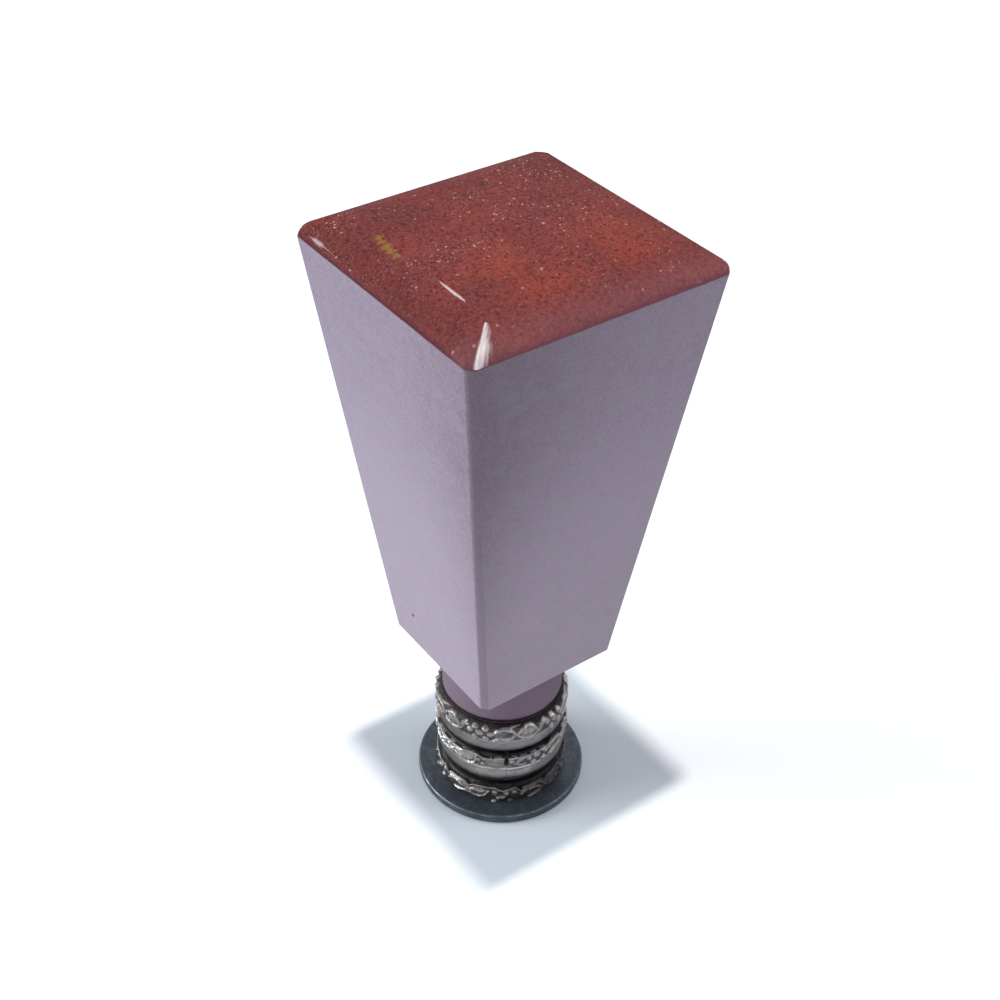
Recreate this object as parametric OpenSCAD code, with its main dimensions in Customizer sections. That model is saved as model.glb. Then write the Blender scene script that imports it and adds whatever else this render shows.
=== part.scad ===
// Desk seal: a tapered hardstone handle with a domed, hipped crown, held in a silver
// ferrule with three flower-and-leaf gallery rings, on a round metal matrix.
// The seal stands upright on the printing face of its matrix, at z = 0.

/* [Matrix] */
// Diameter of the round die that prints
matrix_d = 20.4; // [18:0.2:24]
// Thickness of the die
matrix_t = 1.2; // [0.8:0.1:1.6]
// Bevel round its upper and lower rims
matrix_bevel = 0.3; // [0.1:0.05:0.35]

/* [Ferrule] */
// Outside diameter of the plain tube that carries the gallery rings
sleeve_d = 13.6; // [13:0.1:14]
// Wall of that tube
sleeve_wall = 0.6; // [0.4:0.05:0.7]
// Solder film between the tube and each ring
solder_gap = 0.03; // [0.02:0.01:0.05]
// Width of the plain groove between the upper and the middle ring
upper_groove_h = 0.5; // [0.3:0.1:1]
// Width of the plain groove between the middle and the lower ring
lower_groove_h = 1.1; // [0.6:0.1:1.6]

/* [Base plate and tang] */
// Thickness of the plate that closes the foot of the tube
base_t = 1.2; // [0.9:0.1:1.6]
// Diameter of the peg that holds the stone down
tang_d = 3; // [2.4:0.1:3.6]
// Length of the peg above the base plate
tang_len = 12; // [9:0.5:16]
// Diameter of the peg's head, let into the underside of the base plate
tang_head_d = 5; // [4.4:0.1:6]
// Thickness of that head
tang_head_t = 0.5; // [0.4:0.05:0.7]
// Depth of the grooves that key the peg into its cement
tang_key_depth = 0.25; // [0.1:0.05:0.35]
// Width of each of these grooves
tang_key_w = 1; // [0.6:0.1:1.4]
// Grooves along the peg
tang_keys = 3; // [1:1:3]
// Chamfer at the tip of the peg
tang_tip = 0.4; // [0.2:0.1:0.6]

/* [Cement] */
// Cement between the stone's spigot and the tube
cement_t = 0.2; // [0.1:0.05:0.4]
// Cement between the peg and its hole in the stone
tang_cement_t = 0.3; // [0.2:0.05:0.5]
// Cement under the spigot
bed_t = 0.4; // [0.2:0.1:0.8]
// Cement film under the foot of the neck, which shows as a dark line
film_t = 0.12; // [0.08:0.02:0.2]

/* [Gallery strip] */
// Thickness of the strip, from its bore to the ground on which the ornament stands
strip_t = 0.84; // [0.66:0.02:0.9]
// Height of the ornamented frieze
frieze_h = 1.8; // [1.6:0.05:2]
// Height of the plain belly below the frieze
belly_h = 2.2; // [1.6:0.1:2.8]
// How far the belly stands off the tube at its foot
belly_foot = 0.15; // [0.1:0.05:0.3]
// Height of the lip along the top of the frieze
lip_h = 0.26; // [0.2:0.02:0.32]
// How far that lip stands proud of the ground
lip_proud = 0.36; // [0.2:0.02:0.4]
// Height of the raised band along the foot of the frieze
band_h = 0.3; // [0.2:0.02:0.36]
// How far that band stands proud of the ground
band_proud = 0.15; // [0.1:0.01:0.2]
// Rise of the sloping shoulder above the frieze of the upper ring
upper_shoulder_h = 0.4; // [0.4:0.05:0.9]
// Rise of the flat shoulder above the frieze of the other rings
low_shoulder_h = 0.2; // [0.1:0.05:0.3]
// Height of the lower ring's frieze, which comes down onto the matrix
lower_frieze_h = 2.45; // [2:0.05:2.6]
// Width of the butt seam where each bent strip meets itself
seam_w = 0.3; // [0.2:0.05:0.4]
// Depth of the notch at that seam
seam_depth = 0.5; // [0.3:0.05:0.6]

/* [Ornament] */
// Repeats of the flower and its leaves round each ring
repeats = 5; // [5:1:6]
// Petals of a flower
petals = 6; // [5:1:6]
// Diameter of a petal bead
petal_d = 0.68; // [0.56:0.02:0.72]
// Space between neighbouring beads
petal_gap = 0.06; // [0.04:0.01:0.1]
// Length of a leaf where it leaves the ground
leaf_len = 2.3; // [1.9:0.1:2.5]
// Width of a leaf
leaf_w = 0.95; // [0.7:0.05:1.1]
// Height of a leaf's keel above the ground
leaf_rise = 0.34; // [0.24:0.02:0.4]
// Turn of each leaf out of the level
leaf_tilt = 24; // [12:2:36]
// Thickness of the wire of the vine and its curls
wire_d = 0.3; // [0.24:0.02:0.36]
// Diameter of the curl beside a flower, through the middle of its wire
curl_d = 1.05; // [0.8:0.05:1.1]
// Width of the bend of the vine round a leaf
vine_w = 2.5; // [2.1:0.1:2.7]
// Rise of that bend
vine_rise = 0.5; // [0.36:0.02:0.6]

/* [Stone] */
// How far the turned neck stands out over the tube, all round
neck_overhang = 0.35; // [0.2:0.05:0.6]
// Height of the neck
neck_h = 7.4; // [4:0.2:9]
// Easing of the edge at the foot of the neck
neck_ease = 0.3; // [0.1:0.05:0.4]
// Width of the body at its foot, side to side
foot_x = 18.2; // [16:0.2:20]
// Depth of the body at its foot, front to back
foot_y = 18.2; // [16:0.2:20]
// Width of the body below its crown
head_x = 30.2; // [24:0.2:32]
// Depth of the body below its crown
head_y = 30.6; // [24:0.2:32]
// Height of the tapered body, from its foot to the edge of the crown
body_h = 50.3; // [36:0.5:60]
// Rounding of the four long edges
arris_r = 0.8; // [0.4:0.1:1.2]
// Easing of the edge round the foot of the body
foot_ease = 0.2; // [0.1:0.05:0.4]
// Width of the four convex bevels of the crown
bevel_w = 4.2; // [3:0.2:6]
// Rise of these bevels
bevel_h = 2.5; // [1.6:0.1:3.4]
// Further rise of the table inside the bevels
table_h = 0.5; // [0.3:0.1:1]
// Rounding of the hips where the bevels reach the table
hip_r = 1.7; // [1.2:0.1:2.4]

/* [Hidden] */

$fn = 48;
// Overrun of cuts and of shapes that run into each other
overrun = 0.2;
// Corner rounding of the crown is drawn with this many sides to the circle
crown_sides = 32;
// Thickness of the slices between which the crown and the body are stretched
slice_t = 0.01;
// Steps of the belly's curve
belly_steps = 8;
// Depth to which leaves are rooted in the strip
root_depth = 0.4;
// Depth of the middle of a bead, of a curl and of the vine below the ground
bead_sink = 0.07;
curl_sink = 0.05;
vine_sink = 0.09;

// Radii of the ferrule
sleeve_r = sleeve_d / 2;
socket_r = sleeve_r - sleeve_wall;
ring_bore_r = sleeve_r + solder_gap;
ground_r = ring_bore_r + strip_t;
groove_edge_r = ring_bore_r + belly_foot;
spigot_r = socket_r - cement_t;
tang_hole_r = tang_d / 2 + tang_cement_t;
neck_r = sleeve_r + neck_overhang;

// Heights, from the printing face upwards
lower_top = matrix_t + lower_frieze_h + low_shoulder_h;
middle_foot = lower_top + lower_groove_h;
middle_top = middle_foot + belly_h + frieze_h + low_shoulder_h;
upper_foot = middle_top + upper_groove_h;
ferrule_top = upper_foot + belly_h + frieze_h + upper_shoulder_h;
neck_foot = ferrule_top + film_t;
body_foot = neck_foot + neck_h;
crown_foot = body_foot + body_h;
base_top = matrix_t + base_t;
spigot_foot = base_top + bed_t;
tang_top = base_top + tang_len;
tang_hole_top = tang_top + bed_t;

// The side towards which the strip of the middle ring shows its seam
front_turn = -37;
// Turn of each ring's first flower and of its seam from that side
upper_flower_turn = -18;
middle_flower_turn = -18;
lower_flower_turn = 5;
front_seam_turn = 6;
back_seam_turn = 186;

// Bevel of the crown, from its edge to the table, as shares of its width and rise:
// a tight nose first, then a long and slightly convex slope
bevel_shares = [
    [0, 0], [0.015, 0.14], [0.05, 0.27], [0.105, 0.38], [0.19, 0.49],
    [0.33, 0.62], [0.52, 0.765], [0.75, 0.9], [1, 1]
];
// Table of the crown, from the bevels towards the middle, as shares of what is left
table_shares = [[0.25, 0.44], [0.5, 0.75], [0.75, 0.94], [0.95, 1]];

// How far the bead of cement fills the eased edge at the foot of the neck
bead_share = 0.6;

// Places in one repeat of the ornament, as shares of the repeat
first_leaf_share = 0.56;
curl_share = 0.3;
second_leaf_share = 0.8;
bud_share = 0.42;
// Diameter of a bud beside a curl, as a share of a petal bead
bud_size_share = 0.7;

// Points of a quarter of an ellipse, from its foot to its widest point
function quarter(foot, wide, steps) = [
    for (i = [0:steps])
        let (a = 90 * i / steps)
        [foot[0] + (wide[0] - foot[0]) * sin(a), wide[1] + (foot[1] - wide[1]) * cos(a)]
];

// One slice of the rounded, four-sided stone
module slice(x, y, z, r) {
    for (sx = [-1, 1])
        for (sy = [-1, 1])
            translate([sx * (x / 2 - r), sy * (y / 2 - r), z])
                cylinder(h = slice_t, r = r, $fn = crown_sides);
}

// A slice of the crown at a given inset from the body's upper edge
module crown_slice(inset, rise, share) {
    slice(head_x - 2 * inset, head_y - 2 * inset, crown_foot + rise - slice_t,
        arris_r + (hip_r - arris_r) * share);
}

// Tapered body with its crown, stretched over slices
module stone_body() {
    table_w = head_x / 2 - bevel_w - hip_r;
    hull() {
        slice(foot_x - 2 * foot_ease, foot_y - 2 * foot_ease, body_foot, arris_r);
        slice(foot_x, foot_y, body_foot + foot_ease, arris_r);
        for (s = bevel_shares)
            crown_slice(bevel_w * s[0], bevel_h * s[1], s[0]);
        for (s = table_shares)
            crown_slice(bevel_w + table_w * s[0], bevel_h + table_h * s[1], 1);
    }
}

module stone_handle() {
    color("#7a4a50")
        difference() {
            union() {
                stone_body();
                translate([0, 0, neck_foot])
                    cylinder(h = neck_ease, r1 = neck_r - neck_ease, r2 = neck_r);
                translate([0, 0, neck_foot + neck_ease])
                    cylinder(h = neck_h - neck_ease + overrun, r = neck_r);
                translate([0, 0, spigot_foot])
                    cylinder(h = neck_foot - spigot_foot + overrun, r = spigot_r);
            }
            translate([0, 0, spigot_foot - overrun])
                cylinder(h = tang_hole_top - spigot_foot + overrun, r = tang_hole_r);
        }
}

// Half outline of the peg: head, keyed shank and chamfered tip
module tang_outline() {
    shank_r = tang_d / 2;
    pitch = tang_len / (tang_keys + 1);
    difference() {
        union() {
            translate([0, matrix_t])
                square([tang_head_d / 2, tang_head_t]);
            translate([0, matrix_t])
                square([shank_r, tang_top - tang_tip - matrix_t]);
            polygon([
                [0, tang_top - tang_tip - overrun],
                [shank_r, tang_top - tang_tip - overrun],
                [shank_r, tang_top - tang_tip],
                [shank_r - tang_tip, tang_top],
                [0, tang_top]
            ]);
        }
        for (k = [1:tang_keys])
            translate([shank_r - tang_key_depth, base_top + k * pitch - tang_key_w / 2])
                square([tang_key_depth + overrun, tang_key_w]);
    }
}

module tang() {
    color("#a98a4e")
        rotate_extrude()
            tang_outline();
}

// Cement: a film under the neck with a bead in its eased edge, a coat round the spigot,
// a bed under it and the filled hole
module cement_bed() {
    bead = neck_ease * bead_share;
    bead_r = neck_r - neck_ease + bead;
    color("#2b1b20")
        rotate_extrude()
            difference() {
                polygon([
                    [0, base_top], [socket_r, base_top], [socket_r, ferrule_top],
                    [bead_r, ferrule_top], [bead_r, neck_foot + bead],
                    [neck_r - neck_ease, neck_foot], [spigot_r, neck_foot],
                    [spigot_r, spigot_foot],
                    [tang_hole_r, spigot_foot], [tang_hole_r, tang_hole_top],
                    [0, tang_hole_top]
                ]);
                tang_outline();
            }
}

module ferrule_sleeve() {
    color("#6f6a64")
        translate([0, 0, matrix_t])
            difference() {
                cylinder(h = ferrule_top - matrix_t, r = sleeve_r);
                translate([0, 0, -overrun])
                    cylinder(h = ferrule_top - matrix_t + 2 * overrun, r = socket_r);
            }
}

module base_plate() {
    color("#8d867c")
        translate([0, 0, matrix_t])
            difference() {
                cylinder(h = base_t, r = socket_r);
                translate([0, 0, -overrun])
                    cylinder(h = base_t + 2 * overrun, r = tang_d / 2);
                translate([0, 0, -overrun])
                    cylinder(h = tang_head_t + overrun, r = tang_head_d / 2);
            }
}

module matrix_disc() {
    rim_r = matrix_d / 2;
    color("#3c464a")
        rotate_extrude()
            polygon([
                [0, 0], [rim_r - matrix_bevel, 0], [rim_r, matrix_bevel],
                [rim_r, matrix_t - matrix_bevel], [rim_r - matrix_bevel, matrix_t],
                [0, matrix_t]
            ]);
}

// Plain body of a gallery strip: belly, band, ground of the frieze, lip and shoulder
module strip_blank(foot, belly, frieze, shoulder, top_r) {
    frieze_foot = foot + belly;
    lip_top = frieze_foot + frieze;
    belly_line = belly > 0
        ? quarter([ring_bore_r + belly_foot, foot], [ground_r, frieze_foot], belly_steps)
        : [[ground_r, foot]];
    rotate_extrude() {
        polygon(concat(
            [[ring_bore_r, foot]],
            belly_line,
            [
                [ground_r, lip_top - lip_h], [ground_r + lip_proud, lip_top - lip_h / 2],
                [ground_r + lip_proud, lip_top], [top_r, lip_top + shoulder],
                [ring_bore_r, lip_top + shoulder]
            ]
        ));
        if (belly > 0)
            translate([ground_r - overrun, frieze_foot - band_h / 2])
                square([overrun + band_proud, band_h]);
    }
}

// Carries a piece of ornament to its place on the ground: its own X points outwards
module on_ground(turn, z) {
    rotate([0, 0, turn])
        translate([ground_r, 0, z])
            children();
}

// Flower of round beads about a smaller one
module flower() {
    ring_r = (petal_d + petal_gap) / (2 * sin(180 / petals));
    for (k = [0:petals - 1])
        rotate([k * 360 / petals, 0, 0])
            translate([-bead_sink, 0, ring_r])
                sphere(d = petal_d);
    translate([-bead_sink, 0, 0])
        sphere(r = ring_r - petal_d / 2 - petal_gap);
}

// Pointed leaf with a keel: where two balls overlap, cut off at its root
module leaf() {
    keel_r = (leaf_len * leaf_len / 4 + leaf_rise * leaf_rise) / (2 * leaf_rise);
    ball_offset = (leaf_len * leaf_len - leaf_w * leaf_w) / (4 * leaf_w);
    ball_r = sqrt(keel_r * keel_r + ball_offset * ball_offset);
    intersection() {
        translate([leaf_rise - keel_r, 0, -ball_offset])
            sphere(r = ball_r);
        translate([leaf_rise - keel_r, 0, ball_offset])
            sphere(r = ball_r);
        translate([-root_depth, -leaf_len, -leaf_w])
            cube([root_depth + 2 * leaf_rise, 2 * leaf_len, 2 * leaf_w]);
    }
}

module curl() {
    translate([-curl_sink, 0, 0])
        rotate([0, 90, 0])
            rotate_extrude()
                translate([curl_d / 2, 0])
                    circle(d = wire_d);
}

// Bend of the vine, highest in its middle
module vine() {
    bend_r = (vine_w * vine_w / 4 + vine_rise * vine_rise) / (2 * vine_rise);
    half_turn = asin(vine_w / (2 * bend_r));
    translate([-vine_sink, 0, vine_rise / 2 - bend_r])
        rotate([0, 90, 0])
            rotate([0, 0, 180 - half_turn])
                rotate_extrude(angle = 2 * half_turn)
                    translate([bend_r, 0])
                        circle(d = wire_d);
}

// One repeat of the ornament, from its flower onwards
module repeat_of_ornament(z) {
    pitch = 360 / repeats;
    on_ground(0, z)
        flower();
    on_ground(pitch * first_leaf_share, z)
        rotate([leaf_tilt, 0, 0])
            leaf();
    on_ground(pitch * second_leaf_share, z)
        rotate([-leaf_tilt, 0, 0])
            leaf();
    on_ground(pitch * curl_share, z)
        curl();
    on_ground(pitch * first_leaf_share, z)
        vine();
    on_ground(pitch * second_leaf_share, z)
        mirror([0, 0, 1])
            vine();
    on_ground(pitch * bud_share, z + curl_d / 2)
        translate([-bead_sink, 0, 0])
            sphere(d = petal_d * bud_size_share);
}

// A whole ring: the blank, its ornament and the notch of its butt seam
module gallery_ring(foot, belly, frieze, shoulder, top_r, flower_turn, seam_turn) {
    frieze_foot = foot + belly;
    difference() {
        union() {
            strip_blank(foot, belly, frieze, shoulder, top_r);
            for (k = [0:repeats - 1])
                rotate([0, 0, front_turn + flower_turn + k * 360 / repeats])
                    repeat_of_ornament(frieze_foot + (frieze - lip_h) / 2);
        }
        rotate([0, 0, front_turn + seam_turn])
            translate([ground_r + lip_proud - seam_depth, -seam_w / 2, frieze_foot + band_h])
                cube([2 * seam_depth, seam_w, frieze + shoulder]);
    }
}

module upper_gallery_ring() {
    color("#a9a199")
        gallery_ring(upper_foot, belly_h, frieze_h, upper_shoulder_h, neck_r,
            upper_flower_turn, back_seam_turn);
}

module middle_gallery_ring() {
    color("#b5ada2")
        gallery_ring(middle_foot, belly_h, frieze_h, low_shoulder_h, groove_edge_r,
            middle_flower_turn, front_seam_turn);
}

module lower_gallery_ring() {
    color("#8f8a80")
        gallery_ring(matrix_t, 0, lower_frieze_h, low_shoulder_h, groove_edge_r,
            lower_flower_turn, back_seam_turn);
}

stone_handle();
cement_bed();
ferrule_sleeve();
upper_gallery_ring();
middle_gallery_ring();
lower_gallery_ring();
base_plate();
tang();
matrix_disc();
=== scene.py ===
"""Desk seal: a tapered hardstone handle in a silver mount with three gallery rings, on a
dark steel matrix. Every mesh stands in the frame of the CAD model, in metres."""

from __future__ import annotations

import logging
import math
from collections.abc import Iterable
from dataclasses import dataclass, field, replace
from enum import Enum
from functools import reduce

import bmesh
import bpy
import numpy as np
from mathutils import Matrix, Vector, noise


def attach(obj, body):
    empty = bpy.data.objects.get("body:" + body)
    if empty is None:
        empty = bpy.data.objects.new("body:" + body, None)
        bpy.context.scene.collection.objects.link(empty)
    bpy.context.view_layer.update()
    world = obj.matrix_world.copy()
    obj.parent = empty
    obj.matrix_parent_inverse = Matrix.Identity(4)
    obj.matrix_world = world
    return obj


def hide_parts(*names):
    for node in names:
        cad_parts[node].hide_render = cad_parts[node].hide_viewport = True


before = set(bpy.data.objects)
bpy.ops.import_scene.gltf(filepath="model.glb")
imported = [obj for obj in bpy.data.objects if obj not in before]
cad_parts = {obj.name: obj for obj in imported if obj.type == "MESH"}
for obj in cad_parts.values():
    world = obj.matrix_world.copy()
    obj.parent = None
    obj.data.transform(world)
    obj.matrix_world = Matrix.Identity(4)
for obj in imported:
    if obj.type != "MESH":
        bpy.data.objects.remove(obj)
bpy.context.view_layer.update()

MM = 0.001
BODY = "root"
# Direction from the seal to the camera, as an angle about the seal's axis
CAMERA_TURN = -37.1
# Levels of the stone in millimetres: the foot of the crown, of the body and of the neck
CROWN_Z = 71.87
BODY_Z = 21.57
NECK_Z = 14.17

log = logging.getLogger("seal")

Array = np.ndarray
Colour = tuple[float, float, float, float]
Point2 = tuple[float, float]
Point3 = tuple[float, float, float]
# A point, and the distances in millimetres where a fall about it starts and ends
Spot = tuple[Point3, float, float]


def rgb(red: float, green: float, blue: float) -> Colour:
    """Return an opaque colour from linear red, green and blue."""
    return (red, green, blue, 1.0)


class Sock:
    """A shader socket that takes part in Python arithmetic."""

    def __init__(self, graph: Graph, socket: bpy.types.NodeSocket) -> None:
        """Keep the socket and the node graph that it is in."""
        self.graph = graph
        self.socket = socket

    def _math(self, operation: str, other: Sock | float) -> Sock:
        """Return the result of a Math node on this value and another."""
        return self.graph.node("ShaderNodeMath", {"operation": operation}, {0: self, 1: other})

    def __add__(self, other: Sock | float) -> Sock:
        """Return the sum."""
        return self._math("ADD", other)

    def __mul__(self, other: Sock | float) -> Sock:
        """Return the product."""
        return self._math("MULTIPLY", other)

    __radd__ = __add__

    def __sub__(self, other: Sock | float) -> Sock:
        """Return the difference."""
        return self._math("SUBTRACT", other)

    def larger(self, other: Sock | float) -> Sock:
        """Return the larger of two values."""
        return self._math("MAXIMUM", other)

    def ramp(self, low: float, high: float, to_low: float = 0.0, to_high: float = 1.0) -> Sock:
        """Rescale smoothly from one range to another, held at its ends.

        Args:
            low: Value that gives to_low.
            high: Value that gives to_high.
            to_low: Result at low.
            to_high: Result at high.

        Returns:
            The rescaled value.
        """
        sockets = {"Value": self, "From Min": low, "From Max": high, "To Min": to_low, "To Max": to_high}
        return self.graph.node("ShaderNodeMapRange", {"interpolation_type": "SMOOTHSTEP"}, sockets)


Value = Sock | float | Colour | Point3


class Graph:
    """A node graph under construction, with one method that makes any node."""

    def __init__(self, owner: bpy.types.Material | bpy.types.World) -> None:
        """Start the owner's graph afresh.

        Args:
            owner: The material or world.
        """
        owner.use_nodes = True
        self.owner = owner
        self.tree = owner.node_tree
        self.tree.nodes.clear()

    def node(self, kind: str, settings: dict | None = None, sockets: dict | None = None,
             out: str | int | None = 0) -> Sock | None:
        """Add a node.

        Args:
            kind: Type of the node.
            settings: Attributes that are set first.
            sockets: Values or links by the socket's name or number.
            out: Name or number of the output that is wanted, if any.

        Returns:
            That output.
        """
        made = self.tree.nodes.new(kind)
        for name, value in (settings or {}).items():
            setattr(made, name, value)
        for name, value in (sockets or {}).items():
            socket = made.inputs[name]
            if isinstance(value, Sock):
                self.tree.links.new(value.socket, socket)
            else:
                socket.default_value = value
        return None if out is None else Sock(self, made.outputs[out])


class Shader(Graph):
    """The graph of a material, in millimetres of the piece's own coordinates."""

    def __init__(self, name: str) -> None:
        """Start an empty material.

        Args:
            name: The material's name.
        """
        super().__init__(bpy.data.materials.new(name))
        place = self.node("ShaderNodeTexCoord", out="Object")
        self.mm = self.node("ShaderNodeVectorMath", {"operation": "SCALE"}, {0: place, "Scale": 1 / MM})

    def mix(self, factor: Sock | float, first: Value, second: Value, blend: str = "MIX") -> Sock:
        """Mix two colours.

        Args:
            factor: Share of the second colour.
            first: First colour.
            second: Second colour.
            blend: Way of mixing.

        Returns:
            The mixed colour.
        """
        settings = {"data_type": "RGBA", "blend_type": blend}
        return self.node("ShaderNodeMix", settings, {0: factor, 6: first, 7: second}, out=2)

    def noise(self, scale: float, detail: float = 3.0, rough: float = 0.5, warp: float = 0.0,
              where: Sock | None = None) -> Sock:
        """Add a noise texture.

        Args:
            scale: Features per millimetre.
            detail: Octaves.
            rough: Roughness of the octaves.
            warp: Distortion.
            where: Coordinates in place of the piece's own.

        Returns:
            The noise value.
        """
        sockets = {"Vector": where or self.mm, "Scale": scale, "Detail": detail,
                   "Roughness": rough, "Distortion": warp}
        return self.node("ShaderNodeTexNoise", {}, sockets)

    def layers(self, base: Value, *coats: tuple[Sock | float, Value]) -> Sock:
        """Mix colours over a base, one after another.

        Args:
            base: The lowest colour.
            coats: Share and colour of each coat.

        Returns:
            The mixed colour.
        """
        for share, colour in coats:
            base = self.mix(share, base, colour)
        return base

    def cells(self, scale: float) -> Sock:
        """Return the distance from the nearest of scattered points, so many to the millimetre."""
        return self.node("ShaderNodeTexVoronoi", {}, {"Vector": self.mm, "Scale": scale}, out="Distance")

    def stretched(self, x: float, y: float, z: float, turn: float = 0.0) -> Sock:
        """Return the coordinates turned about Z, with features stretched along X, Y and Z."""
        sockets = {"Vector": self.mm, "Rotation": (0.0, 0.0, math.radians(turn)), "Scale": (x, y, z)}
        return self.node("ShaderNodeMapping", {"vector_type": "TEXTURE"}, sockets)

    def axis(self, letter: str) -> Sock:
        """Return one coordinate in millimetres."""
        return self.node("ShaderNodeSeparateXYZ", {}, {0: self.mm}, out=letter)

    def attribute(self, name: str) -> Sock:
        """Return a value stored on the mesh."""
        return self.node("ShaderNodeAttribute", {"attribute_name": name}, out="Fac")

    def near(self, *spots: Spot) -> Sock:
        """Return 1 at any of the spots, falling to 0 away from them.

        Args:
            spots: Each a point and the distances where it starts and ends to fade.

        Returns:
            The mask.
        """
        falls = []
        for point, start, end in spots:
            sockets = {0: self.mm, 1: point}
            gap = self.node("ShaderNodeVectorMath", {"operation": "DISTANCE"}, sockets, out=1)
            falls.append(gap.ramp(start, end, 1.0, 0.0))
        return reduce(Sock.larger, falls)

    def bump(self, height: Sock, depth: float) -> Sock:
        """Return a normal bumped by a height of that depth in millimetres."""
        return self.node("ShaderNodeBump", {}, {"Height": height, "Distance": depth * MM})

    def finish(self, **sockets: Value) -> bpy.types.Material:
        """Close the material with a Principled shader.

        Args:
            sockets: Its sockets, with underscores for spaces.

        Returns:
            The material.
        """
        named = {name.replace("_", " "): value for name, value in sockets.items()}
        surface = self.node("ShaderNodeBsdfPrincipled", {}, named)
        self.node("ShaderNodeOutputMaterial", {}, {0: surface}, out=None)
        return self.owner


@dataclass(frozen=True)
class JasperFinish:
    """Brick-red jasper: a polished crown, and satin sides veiled by a lilac haze."""

    crown_red: Colour = rgb(0.200, 0.040, 0.036)
    crown_dark: Colour = rgb(0.148, 0.033, 0.035)
    crown_orange: Colour = rgb(0.270, 0.050, 0.034)
    crown_grain: Colour = rgb(0.250, 0.088, 0.082)
    crown_pits: Colour = rgb(0.062, 0.015, 0.018)
    crown_front_shade: Colour = rgb(0.045, 0.018, 0.018)
    crown_right: Colour = rgb(0.34, 0.16, 0.19)
    nose: Colour = rgb(0.100, 0.026, 0.045)
    back_edge: Colour = rgb(0.085, 0.050, 0.045)
    fleck: Colour = rgb(0.80, 0.55, 0.52)
    ochre: Colour = rgb(0.260, 0.150, 0.040)
    painted_highlight: Colour = rgb(0.78, 0.72, 0.76)
    # The lilac haze is partly the ground stone's own paleness and partly a painted reflection of the pale
    # surroundings.
    haze: Colour = rgb(0.300, 0.252, 0.325)
    haze_thin_and_shade: Colour = rgb(0.180, 0.138, 0.182)
    painted_shade: Colour = rgb(0.095, 0.078, 0.098)
    haze_pale_and_reflection: Colour = rgb(0.370, 0.318, 0.365)
    haze_green: Colour = rgb(0.252, 0.268, 0.282)
    haze_grain: Colour = rgb(0.36, 0.30, 0.36)
    speck: Colour = rgb(0.40, 0.27, 0.29)
    chamfer: Colour = rgb(0.158, 0.128, 0.158)
    # The neck is darker than the sides: partly a thinner haze on the turned stone, partly painted shade
    # under the body.
    neck: Colour = rgb(0.185, 0.138, 0.182)
    shade_under_body: Colour = rgb(0.07, 0.035, 0.058)
    # Grime in the pit of the left side, and painted shade at the neck's foot.
    grime_and_shade: Colour = rgb(0.022, 0.012, 0.018)
    coat: Point2 = (0.02, 0.09)
    orange_spots: tuple[Spot, ...] = (
        ((7.5, 8.1, 74.0), 1.0, 7.0), ((5.0, -4.5, 74.6), 0.5, 6.0), ((9.5, -3.0, 74.2), 0.5, 6.0))
    ochre_spots: tuple[Spot, ...] = (
        ((-5.8, -11.2, 74.3), 0.0, 1.3), ((-4.9, -11.35, 74.3), 0.0, 1.4), ((-4.0, -11.45, 74.3), 0.0, 1.4),
        ((-3.1, -11.55, 74.3), 0.0, 1.4), ((-2.2, -11.7, 74.3), 0.0, 1.4))
    fleck_swarm: Spot = ((-8.5, 9.0, 74.3), 2.0, 7.5)
    pit: Spot = ((-4.1, -9.72, 26.6), 0.12, 0.3)

    def crown_colour(self, shader: Shader) -> Sock:
        """Return the mottled red of the crown.

        Args:
            shader: The material's graph.

        Returns:
            The colour.
        """
        cloud = shader.noise(0.2, 5.0, 0.62, 0.5).ramp(0.36, 0.66)
        patchy = shader.noise(0.35, 4.0, 0.6, 0.4).ramp(0.3, 0.6, 0.45, 1.0)
        grain = shader.noise(2.6, 5.0, 0.8).ramp(0.42, 0.66)
        pits = shader.noise(2.3, 4.0, 0.8).ramp(0.50, 0.62)
        torn = (shader.noise(1.1, 4.0, 0.75) - 0.5) * 1.9
        return shader.layers(
            self.crown_dark, (cloud, self.crown_red),
            (shader.near(*self.orange_spots) * patchy * 0.9, self.crown_orange),
            (grain * 0.6, self.crown_grain), (pits * 0.75, self.crown_pits),
            ((shader.near(*self.ochre_spots) + torn).ramp(0.58, 0.95) * 0.8, self.ochre))

    def flecks(self, shader: Shader) -> Sock:
        """Return the mask of the small pale flecks.

        Args:
            shader: The material's graph.

        Returns:
            The mask.
        """
        jitter = shader.noise(2.6, 3.0, 0.7, 0.6)
        ragged = shader.noise(7.0, 2.0, 0.7)
        small = (shader.cells(1.3) + jitter * 0.3 + ragged * 0.24).ramp(0.35, 0.44, 1.0, 0.0)
        large = (shader.cells(0.6) + jitter * 0.4 + ragged * 0.24).ramp(0.34, 0.42, 1.0, 0.0)
        tiny = (shader.cells(3.6) + ragged * 0.35).ramp(0.34, 0.48, 1.0, 0.0)
        crowd = shader.noise(0.17, 3.0, 0.6).ramp(0.40, 0.60) * shader.axis("X").ramp(-4.0, 9.0, 1.0, 0.3)
        crowd = crowd.larger(shader.near(self.fleck_swarm))
        return (small * crowd.ramp(0.0, 1.0, 0.12, 1.0)).larger(large * 0.75).larger(tiny * crowd * 0.35)

    def painted_highlights(self, shader: Shader) -> Sock:
        """Return the mask of the painted highlights on the hip of the front corner, on the ridge and by the
        left corner.

        Args:
            shader: The material's graph.

        Returns:
            The mask.
        """
        # A streaked painted highlight on the hip of the front corner, and fainter painted highlights on the
        # ridge and by the left corner.
        streaks = shader.noise(1.0, 3.0, 0.6, 0.0, shader.stretched(2.2, 0.35, 2.2, -45.0))
        worn = (shader.attribute("front_hip") + (streaks - 0.5)).ramp(0.35, 1.15)
        return worn.larger(shader.attribute("bruise").ramp(0.25, 0.8) * 0.6)

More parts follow.
